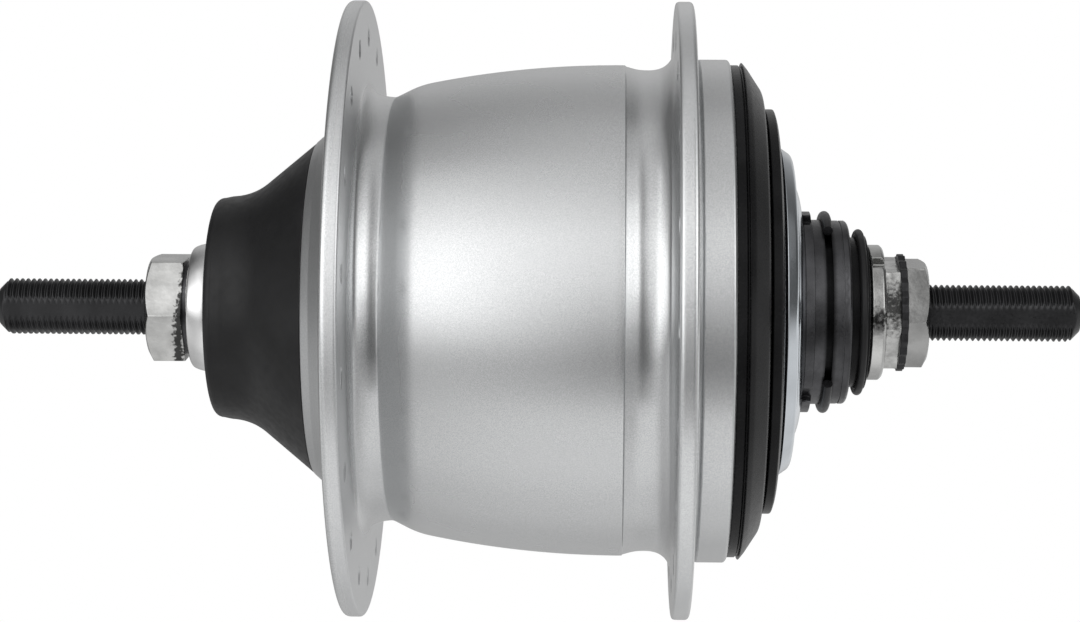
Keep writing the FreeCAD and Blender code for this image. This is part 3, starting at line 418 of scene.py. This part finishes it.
def cleaned(outline):
    """An outline without doubled places and places along straight runs."""
    kept = [p for i, p in enumerate(outline) if math.dist(p, outline[i - 1]) > MERGE]
    return [
        p for i, p in enumerate(kept)
        if corner_turn(kept[i - 1], p, kept[(i + 1) % len(kept)]) > STRAIGHT
    ]


def toward(a, b, distance):
    """The place at a distance from a on the way to b."""
    share = distance / math.dist(a, b)
    return a[0] + (b[0] - a[0]) * share, a[1] + (b[1] - a[1]) * share


def eased(outline):
    """An outline whose gentle bends are cut once, so that its curves grow smoother."""
    result = []
    for i, here in enumerate(outline):
        before, after = outline[i - 1], outline[(i + 1) % len(outline)]
        if not BEND < corner_turn(before, here, after) <= SHARP:
            result.append(here)
            continue
        reach = EASE_REACH * min(math.dist(before, here), math.dist(here, after))
        result += [toward(here, before, reach), toward(here, after, reach)]
    return result


def rounded(outline, edge):
    """An outline whose sharp corners are rounded to about a radius."""
    result = []
    for i, here in enumerate(outline):
        before, after = outline[i - 1], outline[(i + 1) % len(outline)]
        if corner_turn(before, here, after) <= SHARP:
            result.append(here)
            continue
        reach = min(edge, ROUND_REACH * math.dist(before, here), ROUND_REACH * math.dist(here, after))
        start, end = toward(here, before, reach), toward(here, after, reach)
        for k in range(ROUND_STEPS + 1):
            t = k / ROUND_STEPS
            result.append(tuple(
                (1 - t) ** 2 * s + 2 * t * (1 - t) * h + t * t * e for s, h, e in zip(start, here, end)
            ))
    return result


def in_metres(*places):
    """Places in metres, from places in millimetres."""
    return [(x * MM, r * MM) for x, r in places]


def bezier(p0, p1, p2, p3, steps=12):
    """Places along a cubic curve given in millimetres, with both ends."""
    places = []
    for k in range(steps + 1):
        t = k / steps
        shares = (1 - t) ** 3, 3 * t * (1 - t) ** 2, 3 * t * t * (1 - t), t ** 3
        places.append(tuple(
            MM * sum(share * p[i] for share, p in zip(shares, (p0, p1, p2, p3))) for i in (0, 1)
        ))
    return places


def redrawn(outline, low, high, bottom, top, curve):
    """An outline whose places between two x and two radii in millimetres give way to a curve."""
    inside = [low < x / MM < high and bottom < r / MM < top for x, r in outline]
    first = next(i for i in range(len(outline)) if inside[i] and not inside[i - 1])
    run = 0
    while inside[(first + run) % len(outline)]:
        run += 1
    forward = outline[first][0] < outline[(first + run - 1) % len(outline)][0]
    if run == 1:
        forward = outline[first - 1][0] < outline[(first + 1) % len(outline)][0]
    turned = outline[first:] + outline[:first]
    return (curve if forward else curve[::-1]) + turned[run:]


def necked(outline):
    """The shell's outline with smooth necks, round rims and a groove beside the right flange."""
    left_neck = bezier((-28.9, 39.5), (-28.9, 37.2), (-27.4, 36.32), (-24.5, 36.1))
    left_neck += bezier((-24.5, 36.1), (-24.1, 36.07), (-23.8, 36.18), (-23.4, 36.38), 8)[1:]
    left_neck += in_metres((-19.75, 38.2))
    right_neck = in_metres((13.5, 41.7), (14.7, 41.68))
    right_neck += bezier((14.82, 41.5), (16.6, 40.98), (16.9, 40.87), (18.6, 40.85))
    right_neck += bezier((18.6, 40.85), (20.6, 40.85), (22.9, 41.5), (23.1, 45.2))[1:]
    groove = in_metres((26.1, 41.9), (26.9, 41.9), (27.0, 42.7))
    left_rim = bezier((-31.9, 51.3), (-31.85, 52.1), (-31.5, 52.4), (-30.8, 52.4), 8)
    left_rim += bezier((-29.5, 52.4), (-29.1, 52.4), (-28.9, 52.2), (-28.9, 51.8), 6)
    right_rim = bezier((23.1, 51.6), (23.1, 52.2), (23.3, 52.4), (23.9, 52.4), 6)
    right_rim += bezier((25.2, 52.4), (25.8, 52.4), (26.05, 52.15), (26.1, 51.4), 8)
    for change in (
        (-28.95, -19.6, 34.0, 45.0, left_neck), (13.45, 23.15, 34.0, 46.0, right_neck),
        (26.05, 26.15, 34.0, 45.0, groove), (-32.0, -28.8, 51.0, 53.0, left_rim),
        (23.0, 26.2, 51.0, 53.0, right_rim),
    ):
        outline = redrawn(outline, *change)
    return outline


def domed(outline):
    """The left cone cover's outline with its full dome, which starts close to the locknut."""
    dome = in_metres((-56.0, 9.8), (-56.0, 7.97), (-59.0, 7.97))
    dome += bezier((-59.0, 8.6), (-58.95, 9.6), (-58.8, 10.15), (-58.4, 10.37), 8)
    dome += bezier((-58.4, 10.37), (-57.8, 10.7), (-57.0, 10.93), (-56.0, 11.0))[1:]
    return redrawn(outline, -58.5, -55.8, 7.0, 11.2, dome)


# Pieces

def link_mesh(name, mesh):
    """A linked object made from a bmesh, which is freed."""
    data = bpy.data.meshes.new(name)
    mesh.to_mesh(data)
    mesh.free()
    thing = bpy.data.objects.new(name, data)
    bpy.context.scene.collection.objects.link(thing)
    return thing


def smooth(piece):
    """Shade all faces of a piece smooth."""
    for face in piece.data.polygons:
        face.use_smooth = True


def add_piece(name, mesh, body, slot):
    """Link a mesh as a smooth piece of a body, with the finish of its slot."""
    piece = link_mesh(name, mesh)
    smooth(piece)
    paint(piece, finishes[slot])
    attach(piece, body)
    return piece


def weigh_normals(piece):
    """Let large faces set the shading of the small ones beside them."""
    modifier = piece.modifiers.new("normals", "WEIGHTED_NORMAL")
    modifier.weight = NORMAL_WEIGHT
    modifier.keep_sharp = True


def spun(outline):
    """A closed mesh from an outline turned about the axle."""
    mesh = bmesh.new()
    rings = []
    for s in range(RING_SEGMENTS):
        turn = 2 * math.pi * s / RING_SEGMENTS
        rings.append([mesh.verts.new((x, r * math.cos(turn), r * math.sin(turn))) for x, r in outline])
    for s in range(RING_SEGMENTS):
        here, after = rings[s], rings[(s + 1) % RING_SEGMENTS]
        for i in range(len(outline)):
            k = (i + 1) % len(outline)
            mesh.faces.new((here[i], here[k], after[k], after[i]))
    bmesh.ops.recalc_face_normals(mesh, faces=mesh.faces)
    return mesh


def turned_piece(node, name, body, slot, edge, changes=None):
    """Replace a turned CAD part with a fine mesh of the same outline, its edges rounded."""
    outline = cleaned(outline_of(node))
    if changes:
        outline = changes(outline)
    for _ in range(EASE_ROUNDS):
        outline = eased(outline)
    piece = add_piece(name, spun(rounded(outline, edge)), body, slot)
    weigh_normals(piece)
    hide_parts(node)
    return piece


def spoke_drills():
    """A bmesh of all drills for the spoke holes, each wider at both ends for a chamfer on the mouths."""
    mesh = bmesh.new()
    mouth = HOLE_RADIUS + HOLE_CHAMFER + DRILL_REACH
    outline = [
        (-FLANGE_HALF - DRILL_REACH, mouth), (-FLANGE_HALF + HOLE_CHAMFER, HOLE_RADIUS),
        (FLANGE_HALF - HOLE_CHAMFER, HOLE_RADIUS), (FLANGE_HALF + DRILL_REACH, mouth),
    ]
    for x_flange, first in FLANGES:
        for i in range(HOLE_COUNT):
            turn = math.radians(first + 360 * i / HOLE_COUNT)
            y, z = HOLE_CIRCLE * math.cos(turn), HOLE_CIRCLE * math.sin(turn)
            rings = []
            for x, r in outline:
                leans = [2 * math.pi * k / HOLE_SEGMENTS for k in range(HOLE_SEGMENTS)]
                rings.append([
                    mesh.verts.new((x_flange + x, y + r * math.cos(lean), z + r * math.sin(lean)))
                    for lean in leans
                ])
            for here, after in zip(rings, rings[1:]):
                for k in range(HOLE_SEGMENTS):
                    n = (k + 1) % HOLE_SEGMENTS
                    mesh.faces.new((here[k], here[n], after[n], after[k]))
            mesh.faces.new(rings[0])
            mesh.faces.new(rings[-1])
    bmesh.ops.recalc_face_normals(mesh, faces=mesh.faces)
    return mesh


def drill_spokes(piece):
    """Cut the spoke holes through both flanges."""
    drills = link_mesh("spoke_drills", spoke_drills())
    cut = piece.modifiers.new("holes", "BOOLEAN")
    cut.object = drills
    cut.solver = "EXACT"
    bpy.context.view_layer.update()
    whole = piece.evaluated_get(bpy.context.evaluated_depsgraph_get())
    drilled = bpy.data.meshes.new_from_object(whole)
    piece.modifiers.clear()
    piece.data = drilled
    drill_data = drills.data
    bpy.data.objects.remove(drills)
    bpy.data.meshes.remove(drill_data)
    piece.data.set_sharp_from_angle(angle=math.radians(SHARP))
    weigh_normals(piece)


def fine_edges(node, material, edge):
    """Keep a CAD part, and give it rounded edges and a finish."""
    piece = frame["nodes"][node]
    weld = piece.modifiers.new("weld", "WELD")
    weld.merge_threshold = MERGE
    bevel = piece.modifiers.new("bevel", "BEVEL")
    bevel.limit_method = "ANGLE"
    bevel.angle_limit = math.radians(SHARP)
    bevel.width = edge
    bevel.segments = EDGE_SEGMENTS
    smooth(piece)
    weigh_normals(piece)
    paint(piece, material)


def threaded_end(name, side, x_start, x_end):
    """One end of the axle with its screw thread, two flats and a chamfered tip; side is -1 or 1."""
    per_turn = len(THREAD_ROWS)
    rows = int((x_end - x_start) / THREAD_PITCH * per_turn) + 2 * per_turn
    lean, rise = math.cos(AXLE_FLAT_TURN), math.sin(AXLE_FLAT_TURN)
    mesh = bmesh.new()
    grid = []
    for j in range(rows):
        line = []
        for s in range(THREAD_SEGMENTS):
            along = (j / per_turn + s / THREAD_SEGMENTS - 1) * THREAD_PITCH
            x = min(max(x_start + along, x_start), x_end)
            radius = AXLE_RADIUS - THREAD_DEPTH * THREAD_ROWS[j % per_turn]
            radius = min(radius, AXLE_TIP + x_end - x)
            if x == x_start:
                radius = AXLE_RADIUS - THREAD_DEPTH
            turn = 2 * math.pi * s / THREAD_SEGMENTS
            y = side * max(-AXLE_FLAT, min(AXLE_FLAT, radius * math.cos(turn)))
            z = radius * math.sin(turn)
            line.append(mesh.verts.new((side * x, y * lean - z * rise, y * rise + z * lean)))
        grid.append(line)
    last = THREAD_SEGMENTS - 1
    for j in range(rows - 1):
        for s in range(last):
            mesh.faces.new((grid[j][s], grid[j + 1][s], grid[j + 1][s + 1], grid[j][s + 1]))
        if j + per_turn + 1 < rows:
            onward = grid[j + per_turn][0], grid[j + per_turn + 1][0]
            mesh.faces.new((grid[j][last], grid[j + 1][last], onward[1], onward[0]))
    bmesh.ops.remove_doubles(mesh, verts=mesh.verts, dist=MERGE)
    bmesh.ops.holes_fill(mesh, edges=mesh.edges)
    bmesh.ops.recalc_face_normals(mesh, faces=mesh.faces)
    piece = add_piece(name, mesh, "axle", "black_axle")
    piece.data.set_sharp_from_angle(angle=math.radians(THREAD_SHARP))
    return piece


def make_axle():
    """The axle: its CAD middle, trimmed at the locknuts, and two threaded ends."""
    left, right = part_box("left_locknut")[0].x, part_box("right_locknut")[1].x
    low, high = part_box("axle")
    mesh = bmesh.new()
    mesh.from_mesh(frame["nodes"]["axle"].data)
    bmesh.ops.remove_doubles(mesh, verts=mesh.verts, dist=CAD_MERGE)
    for x, way in ((left + THREAD_START, -1), (right - THREAD_START, 1)):
        everything = mesh.verts[:] + mesh.edges[:] + mesh.faces[:]
        bmesh.ops.bisect_plane(
            mesh, geom=everything, plane_co=(x, 0, 0), plane_no=(way, 0, 0), clear_outer=True
        )
    bmesh.ops.holes_fill(mesh, edges=mesh.edges)
    core = add_piece("axle_middle", mesh, "axle", "black_axle")
    core.data.set_sharp_from_angle(angle=math.radians(SHARP))
    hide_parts("axle")
    for name, side, near, far in (
        ("axle_thread_left", -1, -left, -low.x), ("axle_thread_right", 1, right, high.x)
    ):
        end = threaded_end(name, side, near - THREAD_START, far)
        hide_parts("axle")


# Stage

def make_world():
    """A pale studio: white behind the object, and softly graded light around it."""
    world = bpy.data.worlds.new("studio")
    bpy.context.scene.world = world
    world.use_nodes = True
    tree = world.node_tree
    place = coordinates(tree, "Generated")
    forward = number(tree, "MULTIPLY", place["Y"], -1.0)
    angle = number(tree, "ARCTAN2", place["Z"], forward)
    share = number(tree, "MULTIPLY_ADD", angle, 0.5 / math.pi, 0.5)
    light = None
    for column, side in enumerate(LIGHT_SIDES):
        stops = [((elevation + 180) / 360, levels[column]) for elevation, levels in LIGHT_LEVELS]
        ramp = ramp_of(tree, share, stops)
        if light is None:
            light = ramp
        else:
            factor = spread(tree, place["X"], LIGHT_SIDES[column - 1], side, 0.0, 1.0)
            light = mixed(tree, factor, light, ramp)
    seen = tree.nodes.new("ShaderNodeLightPath")
    light = mixed(tree, seen.outputs["Is Camera Ray"], light, WHITE)
    tree.links.new(light, tree.nodes["Background"].inputs["Color"])


def make_floor():
    """A plain pale floor below the object, white to the camera."""
    mesh = bmesh.new()
    bmesh.ops.create_grid(mesh, x_segments=1, y_segments=1, size=FLOOR_SIZE / 2)
    floor = link_mesh("floor", mesh)
    floor.location = (0, 0, -FLOOR_DROP)
    material, tree, shader = start_material("pale_floor")
    shader.inputs["Base Color"].default_value = (FLOOR_GREY, FLOOR_GREY, FLOOR_GREY, 1.0)
    shader.inputs["Roughness"].default_value = FLOOR_ROUGHNESS
    seen = tree.nodes.new("ShaderNodeLightPath")
    white = tree.nodes.new("ShaderNodeEmission")
    mix = tree.nodes.new("ShaderNodeMixShader")
    tree.links.new(seen.outputs["Is Camera Ray"], mix.inputs["Fac"])
    tree.links.new(shader.outputs["BSDF"], mix.inputs[1])
    tree.links.new(white.outputs["Emission"], mix.inputs[2])
    tree.links.new(mix.outputs["Shader"], tree.nodes["Material Output"].inputs["Surface"])
    floor.data.materials.append(material)
    floor.visible_glossy = False


def make_camera():
    """The camera at the photograph's viewing angle."""
    data = bpy.data.cameras.new("camera")
    data.lens = CAMERA_LENS
    data.sensor_width = CAMERA_SENSOR
    data.sensor_fit = "HORIZONTAL"
    data.clip_start, data.clip_end = CAMERA_CLIP
    camera = bpy.data.objects.new("camera", data)
    bpy.context.scene.collection.objects.link(camera)
    camera.location = (CAMERA_SIDE, -CAMERA_DISTANCE, CAMERA_HEIGHT)
    sight = Vector((CAMERA_AIM, 0, CAMERA_HEIGHT)) - camera.location
    aim = sight.to_track_quat("-Z", "Y").to_matrix()
    camera.rotation_euler = (aim @ Matrix.Rotation(CAMERA_ROLL, 3, "Z")).to_euler()
    bpy.context.scene.camera = camera


# The finish of each slot that the frame names
gear_steel = metal("gear_steel", (0.42, 0.42, 0.44), 0.28, wear=0.12)
dark_steel = metal("dark_steel", (0.10, 0.10, 0.105), 0.32, wear=0.2)
finishes = {
    "silver_paint": silver_paint(),
    "black_rubber": dull("black_rubber", (0.008, 0.008, 0.0085), 0.42, 0.25, 700.0, 0.25),
    "black_cap": dull("black_plastic", (0.0075, 0.0075, 0.008), 0.26, 0.08, 1200.0, 0.09),
    "bright_plate": metal("bright_plate", (0.72, 0.76, 0.80), 0.14, wear=0.04, bumps=0.03),
    "bright_cover": metal("bright_cover", (0.78, 0.78, 0.78), 0.20, wear=0.05, bumps=0.04),
    "zinc_steel": metal("zinc_plate", (0.58, 0.58, 0.57), 0.20, wear=0.16, ragged=0.45),
    "black_axle": metal("black_oxide", (0.045, 0.045, 0.047), 0.34, wear=0.15, metallic=0.8),
    "black_wire": metal("black_wire", (0.03, 0.03, 0.032), 0.36, wear=0.15, metallic=0.7),
    "bearing_steel": metal("bearing_steel", (0.60, 0.60, 0.62), 0.15, wear=0.05),
    "cage_steel": metal("cage_steel", (0.50, 0.45, 0.34), 0.32, wear=0.1),
    "gear_steel": gear_steel,
    "spring_steel": gear_steel,
    "dark_steel": dark_steel,
}

# Finishes of single parts; the zinc of the left locknut, the collar and the right cone carries painted
# dark reflections
nut_zinc_painted_reflection = metal(
    "nut_zinc_painted_reflection", (0.58, 0.58, 0.57), 0.20, wear=0.16, ragged=0.45,
    # Painted dark reflection along the locknut's right edge
    patch={
        "x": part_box("left_locknut")[1].x / MM, "z": 0.0, "slant": 0.12,
        "half": 0.75, "reach": 3.0, "soft": 0.25, "kept": 0.10,
    },
)
collar_zinc_painted_reflection = metal(
    "collar_zinc_painted_reflection", (0.58, 0.58, 0.57), 0.20, wear=0.16, ragged=0.45,
    # Painted dark reflection in a ragged band round the collar at its middle height
    patch={"z": -0.9, "half": 1.1, "reach": 7.0, "soft": 0.9, "kept": 0.12},
)
cone_zinc_painted_reflection = metal(
    "mottled_zinc_painted_reflection", (0.56, 0.56, 0.55), 0.20, wear=0.18, ragged=0.6, cell=500.0,
    # Painted dark reflection in a ragged band round the cone at mid height, over its own mottled zinc
    patch={"z": 1.0, "half": 3.1, "reach": 10.0, "soft": 1.8, "kept": 0.12},
)
# The right locknut's metal is darker than the left locknut's zinc
darker_right_nut = metal("darker_right_nut", (0.36, 0.36, 0.355), 0.19, wear=0.16, ragged=0.3)
# The driver's colour carries painted shade in its groove
driver_steel_painted_shade = metal("driver_steel_painted_shade", (0.10, 0.10, 0.105), 0.32, wear=0.2, painted_shade_stops=DRIVER_PAINTED_SHADE)

for part in frame["record"]["subparts"]:
    paint(frame["nodes"][part["node"]], finishes[part["material_slot"]])
paint(frame["nodes"]["left_cone"], dark_steel)

shell = turned_piece("hub_shell", "shell_body", "shell", "silver_paint", SHELL_EDGE, necked)
drill_spokes(shell)
turned_piece("left_rubber_cap", "rubber_cap", "shell", "black_rubber", CAP_EDGE)
turned_piece("outer_dust_cap", "dust_cap", "shell", "black_cap", CAP_EDGE)
turned_piece("inner_dust_ring", "dust_ring", "driver", "black_cap", CAP_EDGE)
turned_piece("driver_plate", "bright_driver_plate", "driver", "bright_plate", PLATE_EDGE)
turned_piece("left_cone_cover", "domed_cone_cover", "axle", "bright_cover", PLATE_EDGE, domed)
make_axle()
for node, finish, edge in (
    ("left_locknut", nut_zinc_painted_reflection, NUT_EDGE), ("right_locknut", darker_right_nut, WORN_EDGE),
    ("right_cone", cone_zinc_painted_reflection, NUT_EDGE), ("sleeve_collar", collar_zinc_painted_reflection, NUT_EDGE),
    ("serrated_washer", finishes["black_wire"], NUT_EDGE), ("driver", driver_steel_painted_shade, NUT_EDGE),
    ("driver_cap", finishes["black_cap"], NUT_EDGE),
):
    fine_edges(node, finish, edge)
for node in ("snap_ring", "driver_seal"):
    smooth(frame["nodes"][node])

make_world()
make_floor()
make_camera()
bpy.context.scene.view_settings.view_transform = "Standard"
